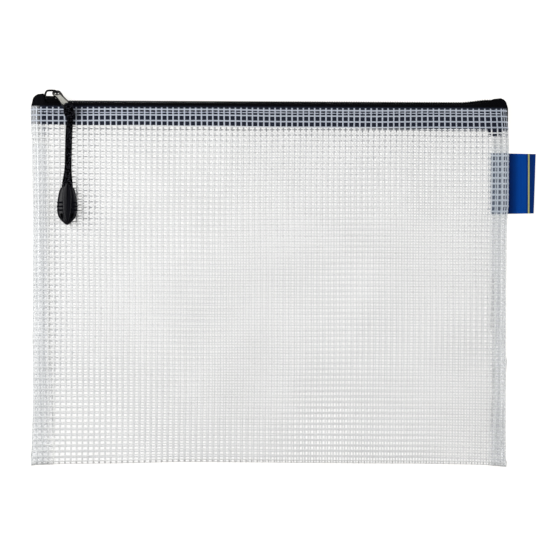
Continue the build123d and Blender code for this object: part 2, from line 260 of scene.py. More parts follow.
@dataclass(frozen=True)
class Grained(Finish):
    """A plain finish: two tones mixed by a grain of a real size, which roughens the surface too."""

    dark: str
    light: str
    grain_mm: float
    roughness: Pair
    bump_mm: float
    metallic: float = 0.0
    ior: float = 1.5
    stretch: Triple = (1.0, 1.0, 1.0)
    specular: float = 0.5
    stops: Pair = NOISE_SPAN

    def shader(self, tree: NodeTree, place: NodeSocket) -> Node:
        """Wire the grain to colour, roughness and bump."""
        laid = add_node(tree, "Mapping", {"Scale": self.stretch}, {"Vector": place})
        grain = add_node(tree, "TexNoise", {"Scale": 1000 / self.grain_mm, "Detail": 4.0}, {"Vector": laid})
        ramp = add_node(tree, "ValToRGB", {}, {"Fac": grain})
        colour_stops(ramp, zip(self.stops, (self.dark, self.light)))
        ends = dict(zip(("From Min", "From Max", "To Min", "To Max"), NOISE_SPAN + self.roughness))
        rough = add_node(tree, "MapRange", ends, {"Value": grain})
        bump = add_node(tree, "Bump", {"Strength": 0.6, "Distance": self.bump_mm * MM}, {"Height": grain})
        look = {"Metallic": self.metallic}
        if not self.metallic:
            look |= {"IOR": self.ior, "Specular IOR Level": self.specular}
        links = {"Base Color": ramp, "Roughness": rough, "Normal": bump}
        return add_node(tree, "BsdfPrincipled", look, links)


@dataclass(frozen=True)
class LabelWeave(Finish):
    """Blue damask ribbon: satin weave, darker at the fold, with one yellow line; its darkening towards the
    seam is painted shade.
    """

    name: str = "blue_woven_damask_ribbon_painted_shade"
    # Painted shade: the stops up to 0.42 darken the ribbon towards the seam, where the film and the seam
    # shade it
    bands: tuple[tuple[float, str], ...] = (
        (0.0, "#0a3058"), (0.33, "#00103c"), (0.42, "#011f5a"), (0.60, "#0049a8"), (0.76, "#0045a0"),
        (0.808, "#012a66"), (0.814, "#b4b574"), (0.840, "#b4b574"), (0.846, "#012a66"), (1.0, "#012f7c"),
    )

    def shader(self, tree: NodeTree, place: NodeSocket) -> Node:
        """Wire the ribbon's bands along X and its weave, with painted shade between the yarns."""
        x = add_node(tree, "SeparateXYZ", {}, {"Vector": place}).outputs["X"]
        along = add_node(tree, "MapRange", {"From Min": 0.1175, "From Max": 0.1425}, {"Value": x})
        bands = add_node(tree, "ValToRGB", {}, {"Fac": along})
        colour_stops(bands, self.bands)
        # Ribbon yarns are 0.2 mm apart; they are drawn at 0.5 and 0.8 mm so that they show
        heights = []
        for way, apart in (("Y", 0.0005), ("X", 0.0008)):
            look = {"Scale": WAVE_SCALE / apart, "bands_direction": way, "Distortion": 0.8}
            heights.append(add_node(tree, "TexWave", look, {"Vector": place}).outputs["Fac"])
        weave = add_node(tree, "Math", {"operation": "MULTIPLY"}, dict(enumerate(heights)))
        # Painted shade: the colour is darker between the yarns and lighter on them
        shade = add_node(tree, "MapRange", {"To Min": 0.72, "To Max": 1.1}, {"Value": weave})
        look = {"blend_type": "MULTIPLY", "Fac": 1.0}
        weave_painted_shade_colour = add_node(tree, "MixRGB", look, {"Color1": bands, "Color2": shade})
        bump = add_node(tree, "Bump", {"Strength": 0.6, "Distance": 0.0001}, {"Height": weave})
        look = {"Roughness": 0.6, "Specular IOR Level": 0.05}
        return add_node(tree, "BsdfPrincipled", look, {"Base Color": weave_painted_shade_colour, "Normal": bump})


@dataclass(frozen=True)
class LitTable(Finish):
    """Pale table top, lit from below so that the wallet hardly shades it."""

    name: str = "pale_lit_table"

    def shader(self, tree: NodeTree, place: NodeSocket) -> Node:
        """Wire a dull grey that shines a warm white."""
        look = {"Base Color": linear("#8a8a8a"), "Roughness": 0.9}
        shine = {"Emission Color": (1.0, 0.985, 0.955, 1), "Emission Strength": 0.9}
        return add_node(tree, "BsdfPrincipled", look | shine, {})


class Film(Enum):
    """The film's looks, in the order of the front film's materials.

    Creased is the film where it turns down and in at the side seams, which makes its haze denser.
    """

    PLAIN = ClearFilm("calendered_clear_vinyl_film", "#8090b8", 0.03)
    CREASED = ClearFilm("creased_clear_vinyl_film", "#e6e8ec", 0.19)
    CREASE_EDGE = ClearFilm("lightly_creased_clear_vinyl_film", "#e6e7ea", 0.09)
    OVER_LABEL = ClearFilm("clear_vinyl_film_over_the_label", "#d4deea", 0.055)


YARN = ScrimYarn("white_polyester_scrim_yarn", "#dadad8", "#e9e9e7")
# Painted light: light comes through the front's translucent yarns, so the back's are painted lighter than
# opaque ones would be
BACK_YARN_PAINTED_LIGHTER = ScrimYarn("white_polyester_scrim_yarn_behind_painted_lighter", "#e3e3e1", "#f1f1ef")
TAPE_PAINTED_SHEEN = WovenTape()
RIBBON_PAINTED_SHADE = LabelWeave()
TABLE = LitTable()
# Drawn nylon monofilament: near black, with a soft shine along each loop
NYLON = Grained(
    "black_nylon_monofilament", "#030304", "#08080b", 0.8, (0.3, 0.45), 0.01, ior=1.53, specular=0.04
)
# Die-cast zinc under black enamel: smooth and slightly pebbled, worn dull
ENAMEL = Grained("black_enamelled_zinc", "#030304", "#08080a", 0.9, (0.25, 0.42), 0.02, specular=0.1)
# Satin nickel, brushed along the tab, with fine bright and dark streaks
NICKEL = Grained(
    "satin_brushed_nickel", "#8c8c86", "#c4c4bd", 0.35, (0.3, 0.5), 0.008, 1.0, stretch=(1.0, 0.25, 0.25)
)
# Spun polyester braid: dull black filaments with a faint painted sheen, whose 0.1 mm specks are drawn at 0.5
# mm to show
BRAID_PAINTED_SHEEN = Grained(
    "black_polyester_braid_painted_sheen", "#000000", "#44444c", 0.55, (0.55, 0.75), 0.03, specular=0.0, stops=(0.54, 0.66)
)
# Injection-moulded soft vinyl: dark blue grey with a fine spark-eroded grain
VINYL = Grained("moulded_soft_vinyl", "#030307", "#0a0a12", 0.35, (0.28, 0.4), 0.02, ior=1.52, specular=0.13)
# Spun polyester sewing thread: off-white and dull
THREAD = Grained("white_polyester_thread", "#9da4b4", "#c6cbd6", 0.2, (0.55, 0.7), 0.02)


def share(value: Array | float, start: Array | float, end: Array | float) -> Array:
    """Give how far values have come from a start to an end, between 0 and 1."""
    return np.clip((value - start) / (end - start), 0, 1)


def unit(vectors: Array) -> Array:
    """Bring rows of vectors to a length of one."""
    return vectors / np.linalg.norm(vectors, axis=1)[:, None]


def add_object(name: str, data: ID) -> Object:
    """Put a new object in the scene."""
    made = bpy.data.objects.new(name, data)
    bpy.context.scene.collection.objects.link(made)
    return made


def take_active(name: str) -> Object:
    """Name the object that an operator just added, and give it."""
    piece = bpy.context.view_layer.objects.active
    piece.name = piece.data.name = name
    return piece


def make_active(piece: Object) -> None:
    """Select one piece alone and make it the active one."""
    bpy.ops.object.select_all(action="DESELECT")
    piece.select_set(True)
    bpy.context.view_layer.objects.active = piece


@contextmanager
def editing(piece: Object, whole: bool = True) -> Iterator[None]:
    """Keep a piece in edit mode for the length of a with block.

    Args:
        piece: The mesh object.
        whole: Whether all of it is selected first, in place of what is selected on it.
    """
    make_active(piece)
    bpy.ops.object.mode_set(mode="EDIT")
    if whole:
        bpy.ops.mesh.select_all(action="SELECT")
    yield
    bpy.ops.object.mode_set(mode="OBJECT")


def read_points(piece: Object) -> Array:
    """Give a mesh's points in metres."""
    points = np.zeros(len(piece.data.vertices) * 3, np.float32)
    piece.data.vertices.foreach_get("co", points)
    return points.reshape(-1, 3).astype(float)


def write_points(piece: Object, points: Array) -> None:
    """Set a mesh's points from millimetres."""
    piece.data.vertices.foreach_set("co", (points * MM).astype(np.float32).ravel())
    piece.data.update()


def apply_modifier(piece: Object, kind: str, **settings: object) -> None:
    """Add a modifier and apply it.

    Args:
        piece: The mesh object.
        kind: Modifier type.
        **settings: The modifier's properties.
    """
    make_active(piece)
    modifier = piece.modifiers.new(kind.title(), kind)
    for name, value in settings.items():
        setattr(modifier, name, value)
    bpy.ops.object.modifier_apply(modifier=modifier.name)


def smooth(piece: Object, angle: float) -> None:
    """Shade a piece smooth across edges flatter than an angle in degrees."""
    make_active(piece)
    bpy.ops.object.shade_smooth_by_angle(angle=math.radians(angle))


def thicken(piece: Object, thickness: float, offset: float = -1.0, angle: float = 50.0) -> None:
    """Give a sheet its thickness in millimetres, to the side that offset says, and shade it smooth."""
    apply_modifier(piece, "SOLIDIFY", thickness=thickness * MM, offset=offset)
    smooth(piece, angle)


def dress(piece: Object, finish: Finish, body: str | None) -> Object:
    """Give a finished piece its material and its body.

    Args:
        piece: The mesh object.
        finish: Its finish.
        body: Body that it rides on, or None where it bends between two.

    Returns:
        The same piece.
    """
    piece.data.materials.append(finish.material())
    if body is not None:
        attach(piece, body)
    log.info("%s: %d faces", piece.name, len(piece.data.polygons))
    return piece


def shaped_grid(name: str, columns: int, rows: int, place: Callable[[Array, Array], Array]) -> Object:
    """Add a grid and lay it on a surface.

    Args:
        name: Name of the piece.
        columns: Faces across.
        rows: Faces along.
        place: Gives points in millimetres for shares from 0 to 1 across and along.

    Returns:
        The grid's object.
    """
    bpy.ops.mesh.primitive_grid_add(x_subdivisions=columns, y_subdivisions=rows, size=2)
    piece = take_active(name)
    u, v, _ = (read_points(piece) + 1).T / 2
    write_points(piece, place(u, v))
    return piece


def yarn_mesh(
    name: str,
    lines: Sequence[Array],
    half_width: float | Array,
    half_thick: float | Array,
    ups: Sequence[Array] | None = None,
    sides: int = 6,
) -> Object:
    """Make flattened yarns along lines, each closed at its ends.

    Args:
        name: Name of the piece.
        lines: Points of each yarn, in millimetres.
        half_width: Half of the yarn's width, or one value for each point.
        half_thick: Half of its thickness, or one value for each point.
        ups: The way that each yarn's flat side faces at each point, or None where that is up.
        sides: Faces round the yarn.

    Returns:
        The yarns' object.
    """
    points, faces, start = [], [], 0
    turn = np.arange(sides) * TURN / sides
    for line, up in zip(lines, ups or [UP] * len(lines)):
        ahead = unit(np.gradient(line, axis=0))
        aside = unit(np.cross(ahead, up))
        above = np.cross(aside, ahead)
        wide, thick = (
            np.broadcast_to(half, len(line))[:, None, None] for half in (half_width, half_thick)
        )
        ring = (
            line[:, None, :]
            + aside[:, None, :] * wide * np.cos(turn)[None, :, None]
            + above[:, None, :] * thick * np.sin(turn)[None, :, None]
        )
        points.append(ring.reshape(-1, 3))
        last = start + (len(line) - 1) * sides
        for low in range(start, last, sides):
            for k in range(sides):
                after = (k + 1) % sides
                faces.append((low + k, low + sides + k, low + sides + after, low + after))
        faces.append(tuple(start + k for k in range(sides)))
        faces.append(tuple(last + sides - 1 - k for k in range(sides)))
        start = last + sides
    mesh = bpy.data.meshes.new(name)
    mesh.from_pydata((np.concatenate(points) * MM).tolist(), [], faces)
    piece = add_object(name, mesh)
    smooth(piece, 60)
    return piece


def line_object(name: str, kind: str, points: Sequence[Sequence[float]] | Array) -> Object:
    """Make a curve object with one line.

    Args:
        name: Name of the object.
        kind: Kind of the line, NURBS or POLY.
        points: Its control points in millimetres.

    Returns:
        The object.
    """
    curve = bpy.data.curves.new(name, "CURVE")
    curve.dimensions = "3D"
    spline = curve.splines.new(kind)
    spline.points.add(len(points) - 1)
    spline.points.foreach_set("co", np.column_stack([np.array(points) * MM, np.ones(len(points))]).ravel())
    return add_object(name, curve)


def smooth_line(points: Sequence[Sequence[float]], step: float) -> Array:
    """Give points a step apart along the NURBS line of some control points.

    Args:
        points: Control points in millimetres.
        step: Distance between the points given.

    Returns:
        The line's points in millimetres.
    """
    holder = line_object("line", "NURBS", points)
    spline = holder.data.splines[0]
    spline.order_u = 3
    spline.use_endpoint_u = True
    spline.resolution_u = 12
    mesh = bpy.data.meshes.new_from_object(holder)
    line = np.array([v.co for v in mesh.vertices], float) / MM
    bpy.data.meshes.remove(mesh)
    bpy.data.curves.remove(holder.data)
    along = np.concatenate([[0], np.cumsum(np.linalg.norm(np.diff(line, axis=0), axis=1))])
    at = np.linspace(0, along[-1], max(2, int(along[-1] / step) + 1))
    return np.stack([np.interp(at, along, line[:, k]) for k in range(3)], axis=1)


def mirrored(half: Pairs, across: tuple[int, int] = (-1, 1)) -> list[Pair]:
    """Close half an outline with its mirror image.

    Args:
        half: Points of the half. One that lies on the mirror line is used once.
        across: Factors of X and Y that mirror it.

    Returns:
        The whole outline's points.
    """
    back = [(x * across[0], y * across[1]) for x, y in reversed(half)]
    return [*half, *(point for point in back if point not in half)]


def softened(corners: Pairs, rounds: int) -> Array:
    """Round an outline by cutting its corners.

    Args:
        corners: Corner points of a closed outline.
        rounds: How often the corners are cut.

    Returns:
        The rounded outline's points.
    """
    outline = np.array(corners, float)
    for _ in range(rounds):
        after = np.roll(outline, -1, axis=0)
        cuts = [0.75 * outline + 0.25 * after, 0.25 * outline + 0.75 * after]
        outline = np.stack(cuts, axis=1).reshape(-1, 2)
    return outline


def outline_solid(name: str, outline: Array, low: float, high: float, rim: float, steps: int = 3) -> Object:
    """Extrude an outline along Z and round its two rims.

    Args:
        name: Name of the piece.
        outline: Points of the outline, in millimetres.
        low: Height of its lower face.
        high: Height of its upper face.
        rim: Width of the rounding.
        steps: Faces across the rounding.

    Returns:
        The solid's object.
    """
    bpy.ops.mesh.primitive_circle_add(vertices=len(outline), radius=1, fill_type="NGON")
    piece = take_active(name)
    write_points(piece, np.column_stack([outline, np.full(len(outline), low)]))
    with editing(piece):
        bpy.ops.mesh.extrude_region_move(TRANSFORM_OT_translate={"value": (0, 0, (high - low) * MM)})
        bpy.ops.mesh.select_all(action="SELECT")
        bpy.ops.mesh.normals_make_consistent(inside=False)
        bpy.ops.mesh.select_all(action="DESELECT")
    if rim > 0:
        level = read_points(piece)[:, 2]
        for edge in piece.data.edges:
            first, second = edge.vertices
            edge.select = abs(level[first] - level[second]) < 0.0001 * MM
        with editing(piece, whole=False):
            bpy.ops.mesh.select_mode(type="EDGE")
            bpy.ops.mesh.bevel(offset=rim * MM, segments=steps, profile=0.5, affect="EDGES")
    return piece


def cut(piece: Object, tool: Object) -> None:
    """Cut a tool's shape out of a piece and remove the tool."""
    apply_modifier(piece, "BOOLEAN", operation="DIFFERENCE", object=tool, solver="EXACT")
    bpy.data.objects.remove(tool)


def joined(name: str, pieces: Sequence[Object]) -> Object:
    """Join pieces into the first of them and give it a new name."""
    make_active(pieces[0])
    for piece in pieces[1:]:
        piece.select_set(True)
    bpy.ops.object.join()
    return take_active(name)


class Layer(Enum):
    """A film layer, by how its scrim lies."""

    FRONT = (-0.2, 1.75, 0.4)
    BACK = (1.3, 3.2, 2.9)

    def __init__(self, first_warp: float, first_weft: float, phase: float) -> None:
        """Keep how the scrim lies.

        Args:
            first_warp: Place of the warp yarn next to the middle, in millimetres.
            first_weft: Distance of the top weft yarn from the top edge.
            phase: Phase of the yarns' wander, in radians.
        """
        self.first_warp = first_warp
        self.first_weft = first_weft
        self.phase = phase


@dataclass
class Pouch:
    """The film body: a front sheet that turns in at the side seams, and a flat back sheet."""

    half_width: float = 126.0
    half_height: float = 95.0
    deepest: float = 10.8
    shallow_by: float = 5.8
    level_y: float = 70.0
    seam_z: float = 0.4
    edge_round: float = 4.1
    bottom_round: float = 2.2
    left_allowance: Pair = (9.6, 12.0)
    right_allowance: float = 8.6
    allowance_lift: float = 0.3
    sheet: float = 0.3
    # Height, lengths along X and Y, and phase of each of the film's waves
    waves: Rows = ((0.2, 83.0, 190.0, 0.0), (0.14, 47.0, -71.0, 1.3), (0.1, 120.0, 33.0, 0.6))
    pucker_at: Pair = (113.0, -84.0)
    pucker_size: Pair = (14.0, 11.0)
    pucker_heights: Pair = (0.55, 0.385)
    pucker_length: float = 8.5
    # The pull passes above this height; below it, the film's waves may be higher by this slope
    pull_low: float = 27.0
    pull_slope: float = 0.04
    pull_room: float = 0.05
    # Heights between which the zip comes to hold the film flat
    held_flat: Pair = (88.0, 68.0)
    # How far the left and right edges stand out at heights, and how far the foot is raised along it
    left_out: Pairs = (
        (-95, 0.7), (-82, 0.3), (-65, -0.1), (10, 0.0), (45, 0.2), (70, 0.7), (90, 1.4), (95, 1.4)
    )
    right_out: Pairs = (
        (-95, 0.6), (-60, 0.5), (0, 0.5), (30, 0.7), (37, 1.0), (43, 1.6), (76, 1.8), (84, 1.4), (92, 0.7),
        (95, 0.6),
    )
    foot_up: Pairs = (
        (-126.5, -1.2), (-124.5, -0.5), (-110, -0.1), (-80, 0.3), (-47, 1.2), (0, 1.0), (48, 0.7),
        (80, 0.6), (101, 0.3), (112, 0.1), (120, -0.3), (125, -0.8), (126.5, -0.8),
    )
    # Heights where the foot and the top start to stand off, and how far the top's middle and ends do
    foot_from: float = -55.0
    top_from: float = 40.0
    top_up: float = 0.3
    top_slant: float = 0.2
    warp_pitch: float = 3.0
    weft_pitch: float = 2.96
    warp_waves: Numbers = (0.16, 24.0, 0.08, 9.5, 31.0, 2)
    weft_waves: Numbers = (0.18, 27.0, 0.07, 8.7, 36.0, 3)
    # How far the back's yarns drift for each millimetre from the middle, and how much more on the left
    # and below a distance from the top
    warp_drift: Pair = (0.005, 0.008)
    weft_drift: Pair = (0.004, 0.011)
    more_drift_from: float = 130.0
    # Half of a scrim yarn's width and thickness
    yarn: Pair = (0.36, 0.09)
    yarn_lift: float = 0.06
    yarn_short: float = 0.4
    back_yarn_heights: Pair = (0.11, 0.19)
    label_low: float = 38.8
    label_high: float = 71.4
    label_ease: float = 2.0
    crease_top: float = 80.0
    crease_fade: float = 75.0
    crease_edge: float = 1.7
    creases_by_tape: Pair = (4.0, -5.0)
    stitch_run: Triple = (-121.5, 120.5, 2.9)
    stitch_down: float = 3.2
    # Places along a stitch with its heights on the film, and half of its thread's width and thickness
    stitch: Pairs = (
        (0.0, -0.25), (0.12, 0.02), (0.7, 0.14), (1.25, 0.17), (1.8, 0.14), (2.38, 0.02), (2.5, -0.25)
    )
    thread: Pair = (0.24, 0.2)

    @property
    def flat(self) -> float:
        """Half of the front's width between its rounded sides."""
        return self.half_width - self.edge_round

    def depth(self, y: Array) -> Array:
        """Give the front's outer height above the floor at heights y."""
        fall = np.maximum(0, (self.level_y - y) / (self.level_y + self.half_height))
        return self.deepest - self.shallow_by * fall**2

    def ripple(self, x: Array, y: Array) -> Array:
        """Give the film's own waves, with puckers in the two bottom corners.

        Args:
            x: Places along the zip.
            y: Places up the film.

        Returns:
            Their heights.
        """
        wave = sum(high * np.sin(TURN * (x / long + y / up) + phase) for high, long, up, phase in self.waves)
        for side, high in zip(SIDES, self.pucker_heights):
            aside = (x - side * self.pucker_at[0]) / self.pucker_size[0]
            above = (y - self.pucker_at[1]) / self.pucker_size[1]
            folds = np.sin(TURN * (side * x - 0.8 * y) / self.pucker_length + 0.9)
            wave += high * np.exp(-(aside**2) - above**2) * folds
        # Where the pull passes, the film stays no higher than its mean, so that the grip clears it
        wave = np.minimum(wave, self.pull_slope * np.maximum(0, self.pull_low - y) - self.pull_room)
        return wave * share(y, *self.held_flat)

    def settle(self, x: Array, y: Array) -> tuple[Array, Array]:
        """Move points of a true rectangle to the film's outline, which has settled out of square.

        Args:
            x: Places along the zip.
            y: Places up the film.

        Returns:
            The moved places.
        """
        left, right = (np.interp(y, *zip(*edge)) for edge in (self.left_out, self.right_out))
        near = np.minimum(1, np.abs(x) / self.half_width) ** 6
        foot = np.interp(x, *zip(*self.foot_up)) * share(y, self.foot_from, -self.half_height) ** 2
        top = self.top_up - self.top_slant * x / self.half_width
        top = top * share(y, self.top_from, self.half_height)
        return x + near * np.where(x < 0, -left, right), y + foot + top

    def fold(self, rise: Array | float, wide: float) -> Array | float:
        """Give the length of film round an edge of a given height and width."""
        return QUARTER * np.sqrt((wide**2 + rise**2) / 2)

    def front(self, across: Array, down: Array) -> Array:
        """Lay distances on the front sheet on its form.

        Args:
            across: Distances along the film from the middle, in millimetres.
            down: Distances along the film from the top edge.

        Returns:
            The points.
        """
        level = 2 * self.half_height - self.bottom_round
        turn = share(down, level, self.length()) * QUARTER
        y = self.half_height - np.minimum(down, level) - self.bottom_round * np.sin(turn)
        rise = self.depth(y) - self.seam_z
        wall = self.fold(rise, self.edge_round)
        reach = np.abs(across)
        bend = share(reach - self.flat, 0, wall) * QUARTER
        inward = np.maximum(reach - self.flat - wall, 0)
        x = np.sign(across) * (np.minimum(reach, self.flat) + self.edge_round * np.sin(bend) - inward)
        above_low = share(y, self.label_low, self.label_low + self.label_ease)
        caught = above_low * share(y, self.label_high, self.label_high - self.label_ease) * (across > 0)
        seam = self.seam_z + self.allowance_lift * (caught * np.sin(bend) + share(inward, 0, 0.6))
        z = seam + (rise + self.ripple(x, y)) * np.cos(bend) * np.cos(turn)
        return np.stack([*self.settle(x, y), z], axis=-1)

    def reach(self, down: Array | float, side: Array | float) -> Array:
        """Give how far the front sheet goes from the middle, round a side's seam.

        Args:
            down: Distances from the top edge.
            side: Below zero for the left side, where more film is turned in, lower down.

        Returns:
            The distances along the film.
        """
        y = np.maximum(self.half_height - down, -self.half_height)
        left = np.interp(down, (0, 2 * self.half_height), self.left_allowance)
        wall = self.fold(self.depth(y) - self.seam_z, self.edge_round)
        return self.flat + wall + np.where(np.asarray(side) < 0, left, self.right_allowance)

    def length(self) -> float:
        """Give the front sheet's length from the top edge to the bottom seam."""
        rise = self.deepest - self.shallow_by - self.seam_z
        return 2 * self.half_height - self.bottom_round + float(self.fold(rise, self.bottom_round))

    def front_sheet(self, u: Array, v: Array) -> Array:
        """Place the front sheet's grid, with its columns and rows closer at the folds.

        Args:
            u: Share across the sheet.
            v: Share from the bottom seam to the top edge.

        Returns:
            The points.
        """
        # Shares of the columns on half the level part and round a side, and of the rows in the lowest film
        level, folded, low = 0.34, 0.16, 0.12
        lowest = 11.0
        down = np.interp(v, (0, low, 1), (self.length(), self.length() - lowest, 0))
        flat = self.flat - 2
        past = (np.abs(u - 0.5) - level) / folded
        round_side = np.sign(u - 0.5) * (flat + past * (self.reach(down, u - 0.5) - flat))
        return self.front(np.where(past < 0, (u - 0.5) / level * flat, round_side), down)

    def on_back(self, x: Array, y: Array, z: float) -> Array:
        """Lay points of a true rectangle on the back sheet, at a height."""
        return np.stack([*self.settle(x, y), np.full_like(x, z)], axis=-1)

    def back_sheet(self, u: Array, v: Array) -> Array:
        """Place the flat back sheet's grid."""
        return self.on_back((2 * u - 1) * self.half_width, (2 * v - 1) * self.half_height, self.sheet)

    def stray(self, layer: Layer, waves: Numbers, drift: float, along: Array, base: float) -> Array:
        """Give the line of a yarn that strays by a drift, a slow wave and a fast one.

        Args:
            layer: The yarn's layer.
            waves: The slow wave's height and length, the fast one's, its length across yarns and its turns.
            drift: How far the back's yarns drift under the front's.
            along: Distances along the yarn.
            base: The yarn's place.

        Returns:
            Its places at those distances.
        """
        slow, slow_length, fast, fast_length, across, turns = waves
        wander = drift + slow * np.sin(along / slow_length + layer.phase)
        return base + (wander + fast * np.sin(along / fast_length + base / across + turns * layer.phase))

    def front_yarns(self) -> list[Object]:
        """Make the front sheet's warp and weft, in the middle of the film."""
        layer = Layer.FRONT
        lowest = self.length() - 0.3
        down = np.concatenate([np.linspace(0.6, 185, 56), np.linspace(186.5, lowest, 9)])
        warp, weft = [], []
        for i in range(-50, 51):
            base = layer.first_warp + i * self.warp_pitch
            across = self.stray(layer, self.warp_waves, 0.0, down, base)
            keep = np.abs(across) < self.reach(down, base) - self.yarn_short
            if keep.sum() > 4:
                warp.append(self.laid(across[keep], down[keep], -self.yarn_lift))
        for j in range(int((self.length() - layer.first_weft) / self.weft_pitch) + 1):
            base = layer.first_weft + j * self.weft_pitch
            ends = (float(self.reach(base, side)) - self.yarn_short for side in SIDES)
            left, right = (np.linspace(self.flat + 1, end, 18) for end in ends)
            across = np.concatenate([-left[::-1], np.linspace(-self.flat, self.flat, 72), right])
            low = self.stray(layer, self.weft_waves, 0.0, across, base)
            weft.append(self.laid(across, np.minimum(low, lowest), self.yarn_lift))
        return [self.scrim("front_warp_yarns", *zip(*warp)), self.scrim("front_weft_yarns", *zip(*weft))]

    def laid(self, across: Array, down: Array, lift: float) -> tuple[Array, Array]:
        """Lay one yarn in the front sheet.

        Args:
            across: The yarn's distances from the middle.
            down: Its distances from the top edge.
            lift: Its distance from the middle of the film.

        Returns:
            Its points, and the way that the film faces at each.
        """
        step = 0.05
        points = self.front(across, down)
        one = self.front(across + step, down) - self.front(across - step, down)
        two = self.front(across, np.maximum(down - step, 0)) - self.front(across, down + step)
        up = np.cross(one, two)
        size = np.linalg.norm(up, axis=1)[:, None]
        up = np.where(size > 1e-9, up / np.maximum(size, 1e-9), UP)
        return points + up * (lift - self.sheet / 2), up

    def scrim(self, name: str, lines: Sequence[Array], ups: Sequence[Array] | None = None) -> Object:
        """Make one set of the scrim's yarns."""
        return yarn_mesh(name, lines, *self.yarn, ups)

    def back_yarns(self) -> list[Object]:
        """Make the back sheet's warp and weft, which drift under the front's to the left and the bottom."""
        layer = Layer.BACK
        end = self.half_width - self.yarn_short
        down = np.linspace(0.6, 2 * self.half_height - self.yarn_short, 48)
        across = np.linspace(-end, end, 64)
        warp, weft = [], []
        for i in range(-42, 42):
            base = layer.first_warp + i * self.warp_pitch
            drift = self.warp_drift[0] * base + self.warp_drift[1] * min(base, 0)
            x = np.clip(self.stray(layer, self.warp_waves, drift, down, base), -end, end)
            warp.append(self.on_back(x, self.half_height - down, self.back_yarn_heights[0]))
        for j in range(int(2 * self.half_height / self.weft_pitch) - 1):
            base = layer.first_weft + j * self.weft_pitch
            more = self.weft_drift[1] * max(base - self.more_drift_from, 0)
            drift = self.weft_drift[0] * (base - self.half_height) - more
            low = self.stray(layer, self.weft_waves, drift, across, base)
            weft.append(self.on_back(across, self.half_height - low, self.back_yarn_heights[1]))
        return [self.scrim("back_warp_yarns", warp), self.scrim("back_weft_yarns", weft)]

    def stitches(self) -> Object:
        """Make the row of stitches that holds the tape, along the front's top edge."""
        along, heights = np.array(self.stitch).T
        lines = []
        for start in np.arange(*self.stitch_run):
            across = start + along
            down = self.stitch_down + 0.15 * np.sin(across / 19) + 0.06 * np.sin(start * 7)
            lines.append(self.front(across, down) + heights[:, None] * UP)
        return yarn_mesh("top_edge_stitches", lines, *self.thread)

    def film_at(self, x: float, y: float) -> Film:
        """Tell which look the front film has at a place.

        Args:
            x: Place along the zip.
            y: Place up the film.

        Returns:
            The look.
        """
        left, right = self.creases_by_tape
        if y < self.crease_top:
            left = np.interp(self.half_height - y, (0, 2 * self.half_height), self.left_allowance)
            right = self.right_allowance
        within = max(left - self.half_width - x, x - self.half_width + right)
        if within < 0:
            return Film.PLAIN
        if x > 0 and self.label_low - self.label_ease < y < self.label_high + self.label_ease:
            return Film.OVER_LABEL
        fading = within < self.crease_edge or self.crease_fade < y < self.crease_top
        return Film.CREASE_EDGE if fading else Film.CREASED

    def build(self) -> None:
        """Build and dress the film, its scrim and the stitches."""
        front = shaped_grid("front_film", 150, 110, self.front_sheet)
        thicken(front, self.sheet)
        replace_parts(dress(front, Film.PLAIN.value, "pouch"), "front_panel")
        looks = list(Film)
        for look in looks[1:]:
            front.data.materials.append(look.value.material())
        for face in front.data.polygons:
            face.material_index = looks.index(self.film_at(*(face.center / MM)[:2]))
        back = shaped_grid("back_film", 60, 50, self.back_sheet)
        thicken(back, self.sheet)
        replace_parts(dress(back, Film.PLAIN.value, "pouch"), "back_panel")
        front_yarns = [dress(piece, YARN, "pouch") for piece in self.front_yarns()]
        back_yarns = [dress(piece, BACK_YARN_PAINTED_LIGHTER, "pouch") for piece in self.back_yarns()]
        stitches = dress(self.stitches(), THREAD, "pouch")
        width = sum(float(self.reach(self.half_height, side)) for side in SIDES) * MM
        self.length() * MM


